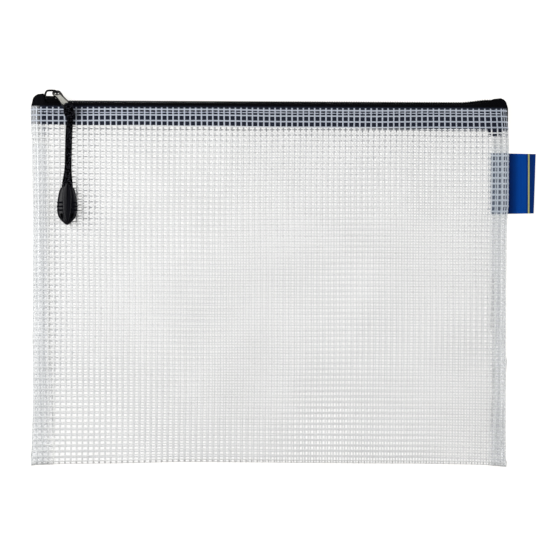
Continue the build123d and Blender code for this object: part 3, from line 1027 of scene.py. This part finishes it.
@dataclass
class Zip:
    """The coil zip: two tape halves folded over the top edge, and two meshing rows of wound loops."""

    # Stations along the zip, with the folded tape's half depth, middle, top and corner radius at each
    places: Numbers = (
        -126.9, -126.4, -125.4, -122.8, -119.9, -118.8, 101.0, 117.0, 118.6, 122.9, 124.7, 125.9, 126.9
    )
    halves: Numbers = (1.6, 1.7, 2.0, 3.3, 4.8, 5.0, 5.0, 2.8, 2.5, 2.2, 2.0, 1.8, 1.6)
    middles: Numbers = (2.1, 2.2, 2.5, 3.8, 5.2, 5.4, 5.4, 3.3, 3.0, 2.8, 2.5, 2.3, 2.1)
    tops: Numbers = (
        95.8, 98.9, 101.0, 102.0, 102.1, 97.2, 96.8, 98.3, 100.0, 100.5, 99.9, 98.5, 95.4
    )
    corners: Numbers = (0.7, 0.8, 0.9, 1.1, 1.3, 1.3, 1.3, 1.1, 1.0, 1.0, 0.9, 0.8, 0.7)
    straight_after: tuple[int, ...] = (0, 1, 5, 8, 10, 11)
    gap: float = 0.95
    thick: float = 0.45
    foot: Pair = (86.2, 83.6)
    # Height and length of the lower edge's waves, and how far and where it drops at the folded right end
    foot_wave: Pair = (0.25, 13.0)
    end_drop: float = 3.2
    end_drop_starts: Pair = (116.2, 117.4)
    end_drop_ends: Pair = (124.6, 122.1)
    # Shares of the tape's width at which its wall ends and its fold ends
    wall_end: float = 0.6
    fold_end: float = 0.8
    pitch: float = 1.29
    wire: float = 0.33
    loop_middle: float = 0.7
    loop_reach: float = 0.95
    loop_rise: float = 0.47
    loop_points: int = 12
    # How far the front and back rows stand over the tape
    row_lifts: Pair = (0.3, 0.06)
    parting: float = 1.03
    first_x: float = -119.2
    last_x: float = 119.0
    coil_cap: float = 98.5
    still_x: float = 101.0

    def at(self, values: Numbers, x: Array) -> Array:
        """Read a station list at places along X, eased between most stations.

        Args:
            values: One value for each station.
            x: The places.

        Returns:
            The values there.
        """
        where = np.interp(x, self.places, np.arange(len(self.places)))
        step = np.clip(np.floor(where).astype(int), 0, len(self.places) - 2)
        part = where - step
        part = np.where(np.isin(step, self.straight_after), part, part * part * (3 - 2 * part))
        low, high = np.array(values)[step], np.array(values)[step + 1]
        return low + (high - low) * part

    def lower_edge(self, x: Array) -> Array:
        """Give the tape's lower edge, which hangs lower at its folded right end.

        Args:
            x: Places along the zip.

        Returns:
            The edge's heights.
        """
        along = share(x, self.places[0], self.places[-1])
        wave = self.foot_wave[0] * np.sin(x / self.foot_wave[1])
        edge = self.foot[0] + (self.foot[1] - self.foot[0]) * along + wave
        return edge - self.end_drop * share(x, *self.end_drop_starts) * share(x, *self.end_drop_ends)

    def tape(self, side: int, u: Array, v: Array) -> Array:
        """Place one tape half's grid.

        Args:
            side: 1 for the front half and -1 for the back half.
            u: Share along the zip.
            v: Share from the lower edge to the coil.

        Returns:
            The points.
        """
        x = self.places[0] + (self.places[-1] - self.places[0]) * u
        stations = (self.halves, self.middles, self.tops, self.corners)
        half, middle, top, corner = (self.at(values, x) for values in stations)
        foot = self.lower_edge(x)
        gap = np.minimum(self.gap, half / 3)
        bend = share(v, self.wall_end, self.fold_end) * QUARTER
        y = foot + (top - corner - foot) * share(v, 0, self.wall_end) + corner * np.sin(bend)
        off = half - corner * (1 - np.cos(bend)) - (half - corner - gap) * share(v, self.fold_end, 1)
        return np.stack([x, y, middle + side * off], axis=-1)

    def row(self, side: int) -> Array:
        """Give the line of one row's wound wire.

        Args:
            side: 1 for the front row and -1 for the back row, whose loops lie between the front's.

        Returns:
            Points along the wire.
        """
        turns = int((self.last_x - self.first_x) / self.pitch)
        angle = np.arange(turns * self.loop_points) * TURN / self.loop_points
        x = self.first_x + self.pitch * (angle / TURN + (0.5 if side < 0 else 0.0))
        spread = self.parting * share(x, SLIDER_X + 1.5, SLIDER_X - 2.0)
        across = self.loop_middle + spread + self.loop_reach * np.cos(angle)
        lift = self.row_lifts[0] if side > 0 else self.row_lifts[1]
        level = np.minimum(self.at(self.tops, x) + lift, self.coil_cap)
        y = level + self.loop_rise + self.loop_rise * np.sin(angle)
        return np.stack([x, y, self.at(self.middles, x) + side * across], axis=-1)

    def coil(self, name: str, line: Array) -> Object:
        """Wind a run of loops as a wire along its line.

        Args:
            name: Name of the piece.
            line: The wire's points.

        Returns:
            The wire's object.
        """
        holder = line_object(name, "POLY", line)
        holder.data.bevel_depth = self.wire * MM
        holder.data.bevel_resolution = 1
        holder.data.use_fill_caps = True
        make_active(holder)
        bpy.ops.object.convert(target="MESH")
        bpy.ops.object.shade_smooth()
        return take_active(name)

    def build(self) -> None:
        """Build and dress the tapes and the coil rows."""
        for name, side in (("front_zip_tape", 1), ("back_zip_tape", -1)):
            tape = shaped_grid(f"{name}_cloth", 260, 30, lambda u, v, s=side: self.tape(s, u, v))
            if side < 0:
                with editing(tape):
                    bpy.ops.mesh.flip_normals()
            thicken(tape, self.thick)
            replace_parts(dress(tape, TAPE_PAINTED_SHEEN, "pouch"), name)
        for name, side in (("front_coil", 1), ("back_coil", -1)):
            line = self.row(side)
            moving = int((line[:, 0] < self.still_x).sum())
            wire = dress(self.coil(f"{name}_wire", line[:moving]), NYLON, "pouch")
            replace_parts(wire, name)
            # The slider parts the rows as it opens the zip, so each draws back to its own tape
            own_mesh(wire)
            dress(self.coil(f"{name}_end", line[moving - 1 :]), NYLON, "pouch")


@dataclass
class Slider:
    """The enamelled slider: two plates on a wedge post, side flanges and an arched bail.

    Outlines are drawn flat, X along the zip and Y towards the back, and raised along the wallet's Y.
    """

    middle: float = 5.4
    tape_top: float = 97.1
    tape: float = 0.5
    coil: float = 1.5
    fit: float = 0.25
    plate: float = 0.8
    plate_rim: float = 0.28
    half_plate: Pairs = (
        (-4.2, 1.2), (-4.1, 2.5), (-3.3, 3.5), (-1.6, 3.3), (-0.2, 2.85), (2.0, 2.6), (3.6, 2.4), (4.2, 1.6)
    )
    deck: float = 1.2
    deck_sunk: float = 0.2
    deck_rim: float = 0.3
    deck_outline: Pairs = (
        (-4.1, 0.5), (-4.1, -0.8), (-3.9, -2.2), (-3.2, -3.1), (-1.7, -2.8), (0.3, -2.0), (1.7, -1.2),
        (1.9, -0.4), (1.9, 0.5),
    )
    flange: Pairs = (
        (-3.3, 3.0), (-3.0, 3.42), (-0.5, 2.88), (4.0, 2.28), (4.0, 2.0), (1.9, 2.0), (-2.0, 3.0)
    )
    flange_rim: float = 0.06
    post: Pairs = ((-3.9, 0.0), (-3.2, 0.5), (-2.3, 0.5), (-0.9, 0.0), (-2.3, -0.5), (-3.2, -0.5))
    bail_wire: Pair = (0.55, 0.5)
    bail_rise: float = 4.2
    bail_ends: Pair = (-3.7, 2.75)

    def levels(self) -> Triple:
        """Give the heights of the upper plate's underside and top and of the lower plate's top."""
        under = self.tape_top + self.coil + self.fit
        return under, under + self.plate, self.tape_top - self.tape - self.fit

    def stand(self, piece: Object) -> Object:
        """Turn a solid drawn flat so that its height runs along the wallet's Y."""
        rows = ((1, 0, 0, SLIDER_X * MM), (0, 0, 1, 0), (0, -1, 0, self.middle * MM), (0, 0, 0, 1))
        piece.data.transform(Matrix(rows))
        return piece

    def bail(self) -> Object:
        """Bend the bail's wire over the upper plate."""
        top = self.levels()[1]
        crown = top + self.bail_rise
        left, right = (SLIDER_X + end for end in self.bail_ends)
        route = (
            (left - 0.15, top - 0.5),
            (left, top + 1.6),
            (left + 0.55, crown - 0.5),
            (left + 1.7, crown + 0.05),
            (right - 1.3, crown),
            (right - 0.2, crown - 0.6),
            (right - 0.02, top + 1.2),
            (right, top - 0.5),
        )
        line = smooth_line([(x, y, self.middle) for x, y in route], 0.25)
        return yarn_mesh("bail", [line], *self.bail_wire, sides=10)

    def build(self) -> None:
        """Build and dress the slider."""
        under, top, low = self.levels()
        foot = self.tape_top + self.fit
        sunk = 0.1
        outline = softened(mirrored(self.half_plate, (1, -1)), 2)
        flanges = [np.array(self.flange) * (1, side) for side in SIDES]
        solids = (
            ("upper_plate", outline, under, top, self.plate_rim),
            ("deck", softened(self.deck_outline, 1), top - self.deck_sunk, top + self.deck, self.deck_rim),
            ("lower_plate", outline, low - self.plate, low, self.plate_rim),
            *(("flange", edge, foot, under + sunk, self.flange_rim, 1) for edge in flanges),
            ("post", softened(self.post, 1), low - sunk, under + sunk, 0.0),
        )
        pieces = [self.stand(outline_solid(*solid)) for solid in solids]
        slider = joined("slider_casting", [*pieces, self.bail()])
        smooth(slider, 40)
        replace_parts(dress(slider, ENAMEL, "slider"), "zip_slider")


@dataclass
class Pull:
    """The pull: a tab on the bail, a cord hitched to its end bar and a moulded grip.

    The tab's outlines are drawn flat, with its eye at the origin. The grip's are drawn about its
    centre line.
    """

    tilt: float = 55.0
    lean: float = 27.0
    eye: Triple = (-113.05, 102.2, 5.4)
    bar_at: float = 15.2
    bar: float = 0.9
    thick: float = 0.9
    half_tab: Pairs = ((2.3, -2.6), (2.35, 1.6), (1.9, 4.0), (2.15, 8.0), (2.5, 11.8))
    foot_half: float = 2.45
    half_eye: Pairs = ((1.25, -1.5), (1.25, 1.3))
    slot_half: float = 1.75
    slot_length: float = 1.95
    face: Pairs = (
        (2.05, -0.9), (2.05, 1.7), (1.65, 4.1), (1.9, 8.0), (2.2, 12.2), (-1.5, 12.2),
        (-1.3, 8.0), (-0.95, 4.2), (-0.9, 2.0), (1.5, 2.0), (1.5, -0.9),
    )
    tab_rim: float = 0.16
    face_sunk: float = 0.14
    # The nickel plate's share of its recess, its shift, its levels about the tab's face and its rim
    plate_share: float = 0.985
    plate_shift: Pair = (0.0, 0.12)
    plate_levels: Pair = (-0.16, 0.06)
    plate_rim: float = 0.12
    hinge: Triple = (0.3, -3.0, -2.0)
    cord: float = 2.0
    cord_step: float = 0.16
    # A strand's distance from the middle, share of the way from the grip to the hitch, height and depth
    strand: Rows = (
        (1.75, 0.0, 51.55, 13.4), (0.8, 0.15, 58.5, 12.7), (0.85, 0.33, 68.0, 11.8), (0.85, 0.67, 82.0, 12.1)
    )
    # The hitch's distances from the middle, from the bar towards the grip, and out in front
    hitch: Rows = (
        (0.9, 6.4, -0.1), (0.85, 4.6, -0.2), (0.85, 2.4, 0.5), (0.85, 0.6, 1.6), (0.85, -1.1, 1.6),
        (0.85, -2.0, 0.0), (0.95, -1.0, -1.6), (1.5, 1.2, -1.5), (2.0, 3.2, -0.6), (2.0, 4.5, 0.9),
        (0.9, 4.7, 1.9),
    )
    # The braid's swelling by the distance from the cord's ends, in the grip
    swelling: Pairs = ((0, 1.5), (4, 1.48), (6.5, 1.36), (9, 1.12), (11.5, 1.0))
    core: float = 0.74
    lay: float = 6.0
    carriers: int = 4
    carrier_at: float = 0.8
    carrier_weave: float = 0.08
    carrier_half_width: float = 0.42
    carrier_half_thick: float = 0.17
    grip_x: float = -107.0
    grip_z: float = 13.4
    grip_half_thick: float = 2.0
    grip_thins_below: float = 2.4
    grip_square: float = 2.4
    # The grip's half width and height from its top to its tip
    profile: Pairs = (
        (0.0, 52.9), (2.2, 52.9), (3.6, 51.9), (4.3, 50.2), (4.8, 47.6), (5.2, 45.0), (5.35, 42.4),
        (5.35, 39.4), (4.9, 37.0), (3.7, 35.2), (2.1, 33.5), (0.9, 32.4), (0.0, 32.2),
    )
    recess: Pairs = ((-3.9, 38.4), (-2.0, 38.4), (-1.9, 35.3), (-2.8, 35.6))
    recess_floor: float = 0.6
    recess_top: float = 4.0
    half_shield: Pairs = (
        (0.0, 55.7), (1.1, 53.2), (2.0, 51.4), (2.4, 49.6), (2.45, 46.0), (2.3, 40.0), (1.5, 35.6),
        (0.0, 33.0),
    )
    shield_back: float = 2.45
    shield_front: float = 2.75
    shield_rim: float = 0.75
    rib_rows: Numbers = (44.1, 42.05, 40.1)
    rib_from: float = 2.4
    rib: Pair = (0.48, 0.6)
    rib_short: float = 0.25
    rib_lift: float = 0.02
    # Distance from the middle at which a rib leans by half a right angle
    rib_lean_at: float = 6.0

    def axes(self) -> tuple[Vector, Vector, Vector]:
        """Give the tab's width, length and facing directions."""
        tilt, lean = math.radians(self.tilt), math.radians(self.lean)
        rise = Vector((0, -math.cos(tilt), math.sin(tilt)))
        along = Vector((1, 0, 0)) * math.sin(lean) + rise * math.cos(lean)
        facing = Vector((0, math.sin(tilt), math.cos(tilt)))
        return along.cross(facing), along, facing

    def on_tab(self, piece: Object) -> Object:
        """Move a solid drawn flat on to the tab's plane."""
        turn = Matrix(self.axes()).transposed().to_4x4()
        piece.data.transform(Matrix.Translation(Vector(self.eye) * MM) @ turn)
        return piece

    def build_tab(self) -> None:
        """Build and dress the tab's enamelled frame and its nickel face."""
        upper = self.thick / 2
        foot = self.bar_at + self.bar / 2
        slot_high = foot - self.bar
        half_slot = ((self.slot_half, slot_high - self.slot_length), (self.slot_half, slot_high))
        outline = softened(mirrored([*self.half_tab, (self.foot_half, foot)]), 2)
        face = softened(self.face, 1)
        tab = outline_solid("tab_frame", outline, -upper, upper, self.tab_rim)
        clear = 2.0
        holes = (
            (softened(mirrored(self.half_eye), 2), -clear),
            (softened(mirrored(half_slot), 1), -clear),
            (face, upper - self.face_sunk),
        )
        for hole, low in holes:
            cut(tab, outline_solid("hole", hole, low, clear, 0.0))
        smooth(tab, 35)
        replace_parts(dress(self.on_tab(tab), ENAMEL, "tab"), "pull_tab")
        face = face * self.plate_share + self.plate_shift
        low, high = (upper + level for level in self.plate_levels)
        plate = outline_solid("tab_face", face, low, high, self.plate_rim, 2)
        smooth(plate, 35)
        dress(self.on_tab(plate), NICKEL, "tab")

    def pivot(self) -> Vector:
        """Give the point below the bar that the cord swings about."""
        return Vector(self.eye) + self.axes()[1] * self.bar_at + Vector(self.hinge)

    def route(self) -> list[Numbers]:
        """Give the cord's control points from the grip up, round the tab's bar and down again.

        Returns:
            The points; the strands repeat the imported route, and the hitch lies round the bar.
        """
        width, along, _ = self.axes()
        bar = Vector(self.eye) + along * self.bar_at
        pivot = self.pivot()
        away = (pivot - bar).normalized()
        front = away.cross(width).normalized()
        front = front if front.z > 0 else -front
        aside = width if width.x > 0 else -width
        shift = pivot.x - self.grip_x
        halves = []
        for side in SIDES:
            up = [(self.grip_x + shift * part + side * off, y, z) for off, part, y, z in self.strand]
            over = [bar + aside * (side * off) + away * out + front * fore for off, out, fore in self.hitch]
            halves.append([*up, *map(tuple, over)])
        return halves[0] + halves[1][::-1]

    def build_cord(self, grip: Object) -> None:
        """Args:
            grip: The grip's object, which is not used.
        """
        line = smooth_line(self.route(), self.cord_step)
        ahead = unit(np.gradient(line, axis=0))
        up = np.zeros_like(line)
        now = np.array(UP)
        for i, way in enumerate(ahead):
            now = now - way * (now @ way)
            now /= np.linalg.norm(now)
            up[i] = now
        aside = np.cross(ahead, up)
        along = np.arange(len(line)) * self.cord_step
        swell = np.interp(np.minimum(along, along[-1] - along), *zip(*self.swelling))
        thick = self.core * swell[::2]
        core = yarn_mesh("cord_core", [line[::2]], thick, thick, [up[::2]], sides=8)
        lines, ups = [], []
        for way in SIDES:
            weave = way * self.carrier_weave * np.cos(self.carriers * TURN * along / self.lay)
            radius = swell * (self.carrier_at + weave)
            for k in range(self.carriers):
                angle = way * TURN * along / self.lay + k * TURN / self.carriers
                out = np.cos(angle)[:, None] * up + np.sin(angle)[:, None] * aside
                lines.append(line + out * radius[:, None])
                ups.append(out)
        carriers = yarn_mesh(
            "cord_carriers", lines, self.carrier_half_width * swell, self.carrier_half_thick, ups
        )
        cord = joined("pull_cord_braid", [carriers, core])
        dress(cord, BRAID_PAINTED_SHEEN, None)
        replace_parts(cord, "pull_cord", "cord_hitch")
        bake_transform(cord)

    def grip_line(self) -> Array:
        """Give the grip's half width and height along a smooth line from its top to its tip."""
        return smooth_line([(x, y, 0.0) for x, y in self.profile], 0.4)

    def grip_half(self, y: Array | float) -> Array | float:
        """Give the grip's half width at heights y."""
        line = self.grip_line()[::-1]
        return np.interp(y, line[:, 1], line[:, 0])

    def grip_thick(self, half: Array | float) -> Array | float:
        """Give the half thickness of the grip where its half width is known."""
        return self.grip_half_thick * np.minimum(1, half / self.grip_thins_below) ** 0.7

    def grip_rise(self, x: Array, y: float) -> Array:
        """Give the height of the grip's face over its middle at distances x from its centre line."""
        half = np.maximum(self.grip_half(y), 1e-6)
        bulge = np.maximum(0, 1 - (x / half) ** self.grip_square) ** (1 / self.grip_square)
        return self.grip_thick(half) * bulge

    def grip_body(self) -> Object:
        """Wrap a grid round the grip's form and close its seam and ends."""
        line = self.grip_line()
        rows = len(line) - 1

        def place(u: Array, v: Array) -> Array:
            """Place the grid by its shares round the grip and down it."""
            half, y = (np.interp(v * rows, np.arange(rows + 1), line[:, k]) for k in (0, 1))
            round_it = (np.cos(TURN * u), np.sin(TURN * u))
            wide, high = (np.sign(part) * np.abs(part) ** (2 / self.grip_square) for part in round_it)
            x, z = self.grip_x + half * wide, self.grip_z + self.grip_thick(half) * high
            return np.stack([x, y, z], axis=-1)

        body = shaped_grid("grip_body", 64, rows, place)
        with editing(body):
            bpy.ops.mesh.remove_doubles(threshold=1e-6)
            bpy.ops.mesh.normals_make_consistent(inside=False)
        return body

    def build_grip(self) -> Object:
        """Build, dress and give the moulded grip."""
        body = self.grip_body()
        centre = (self.grip_x, 0)
        low, high = self.grip_z - self.recess_floor, self.grip_z + self.recess_top
        for side in SIDES:
            recess = softened(self.recess, 1) * (-side, 1) + centre
            cut(body, outline_solid("recess", recess, low, high, 0.0))
        shield = softened(mirrored(self.half_shield), 2) + centre
        low, high = self.grip_z - self.shield_back, self.grip_z + self.shield_front
        lines, ups = [], []
        for y in self.rib_rows:
            x = np.linspace(self.rib_from, self.grip_half(y) - self.rib_short, 12)
            rise = self.grip_rise(x, y) + self.rib_lift
            for side in SIDES:
                for face in SIDES:
                    line = [self.grip_x + side * x, np.full_like(x, y), self.grip_z + face * rise]
                    lines.append(np.stack(line, axis=-1))
                    ups.append(np.outer(x / self.rib_lean_at, (side, 0.0, 0.0)) + (0.0, 0.0, face))
        pieces = [
            body,
            outline_solid("grip_shield", shield, low, high, self.shield_rim, 4),
            yarn_mesh("grip_ribs", lines, *self.rib, ups, sides=8),
        ]
        grip = joined("grip_moulding", pieces)
        smooth(grip, 35)
        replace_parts(dress(grip, VINYL, "pull"), "pull_grip")
        return grip


@dataclass
class SideLabel:
    """The ribbon label, folded double and caught in the right side seam."""

    low: float = 39.0
    high: float = 71.2
    inner: float = 117.9
    outer_top: float = 141.8
    outer_bottom: float = 140.8
    fold: float = 0.2
    fold_share: float = 0.02
    free_from: float = 127.0
    free_to: float = 141.0
    middle_z: float = 0.56
    half_gap: float = 0.13
    curl: float = 1.1
    # Mean, swing, rate and phase of the curl's share up the label
    curl_wave: Numbers = (0.55, 0.45, 3.4, 0.4)
    # How much its free end narrows, and by what share the leaves part there
    narrowing: float = 0.5
    parting: float = 0.8
    leaf: float = 0.16

    def place(self, u: Array, v: Array) -> Array:
        """Place the ribbon's grid: down one leaf, round the fold and back along the other.

        Args:
            u: Share along the ribbon, from one caught end to the other.
            v: Share from the label's lower edge to its upper one.

        Returns:
            The points.
        """
        from_fold = np.abs(u - 0.5)
        end = self.outer_bottom + (self.outer_top - self.outer_bottom) * v - self.fold
        bend = share(from_fold, 0, self.fold_share) * QUARTER * np.sign(u - 0.5)
        x = end - (end - self.inner) * share(from_fold, 0, 0.5 - self.fold_share) + self.fold * np.cos(bend)
        free = share(x, self.free_from, self.free_to)
        mean, swing, rate, phase = self.curl_wave
        curl = self.curl * free**2 * (mean + swing * np.sin(v * rate + phase))
        y = self.low + (self.high - self.low) * v + self.narrowing * free * (0.5 - v)
        z = self.middle_z + self.half_gap * np.sin(bend) * (1 + self.parting * free) + curl
        return np.stack([x, y, z], axis=-1)

    def build(self) -> None:
        """Build and dress the ribbon."""
        ribbon = shaped_grid("label_ribbon_cloth", 90, 40, self.place)
        thicken(ribbon, self.leaf, 0.0, 60)
        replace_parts(dress(ribbon, RIBBON_PAINTED_SHADE, "pouch"), "side_label")


@dataclass
class Studio:
    """The pale floor, the soft lamps and the camera straight above the wallet.

    Lamps have a name, a place and a size in metres, and a power in watts.
    """

    pixel: float = 0.531
    frame_px: int = 560
    distance: float = 2000.0
    camera_at: Triple = (5.8, 3.43, 2008.0)
    camera_turn: float = 0.16
    lamps: tuple[tuple[str, Triple, float, float], ...] = (
        ("key", (-0.57, 0.17, 0.65), 0.5, 7.72), ("fill", (0.75, 0.1, 0.42), 0.6, 4.5)
    )
    sky: float = 0.12

    def build_lamps(self) -> None:
        """Add square soft lamps that face the wallet."""
        for name, place, size, power in self.lamps:
            light = bpy.data.lights.new(name, "AREA")
            light.size = size
            light.energy = power
            holder = add_object(name, light)
            holder.location = place
            holder.rotation_euler = (-Vector(place)).to_track_quat("-Z", "Y").to_euler()
            holder.visible_camera = False

    def build_camera(self) -> None:
        """Add the camera that looks straight down."""
        camera = bpy.data.cameras.new("camera")
        camera.lens = camera.sensor_width * self.distance / (self.frame_px * self.pixel)
        camera.clip_end = 20
        holder = add_object("camera", camera)
        holder.location = Vector(self.camera_at) * MM
        holder.rotation_euler = (0, 0, math.radians(self.camera_turn))
        bpy.context.scene.camera = holder

    def build(self) -> None:
        """Build the floor, lamps, world and camera."""
        bpy.ops.mesh.primitive_plane_add(size=6, location=(0, 0, -0.0003))
        floor = take_active("floor")
        floor.data.materials.append(TABLE.material())
        self.build_lamps()
        scene = bpy.context.scene
        scene.world = bpy.data.worlds.new("studio")
        scene.world.use_nodes = True
        background = scene.world.node_tree.nodes["Background"].inputs
        background["Color"].default_value = (1, 1, 1, 1)
        background["Strength"].default_value = self.sky
        self.build_camera()
        scene.view_settings.view_transform = "Standard"
        scene.cycles.transparent_max_bounces = 32


def main() -> None:
    """Build the studio and each sub-assembly in order."""
    logging.basicConfig(level=logging.INFO, format="%(name)s %(message)s")
    Studio().build()
    pull = Pull()
    pull.build_cord(pull.build_grip())
    pull.build_tab()
    Slider().build()
    Zip().build()
    Pouch().build()
    SideLabel().build()


if __name__ == "__main__":
    main()
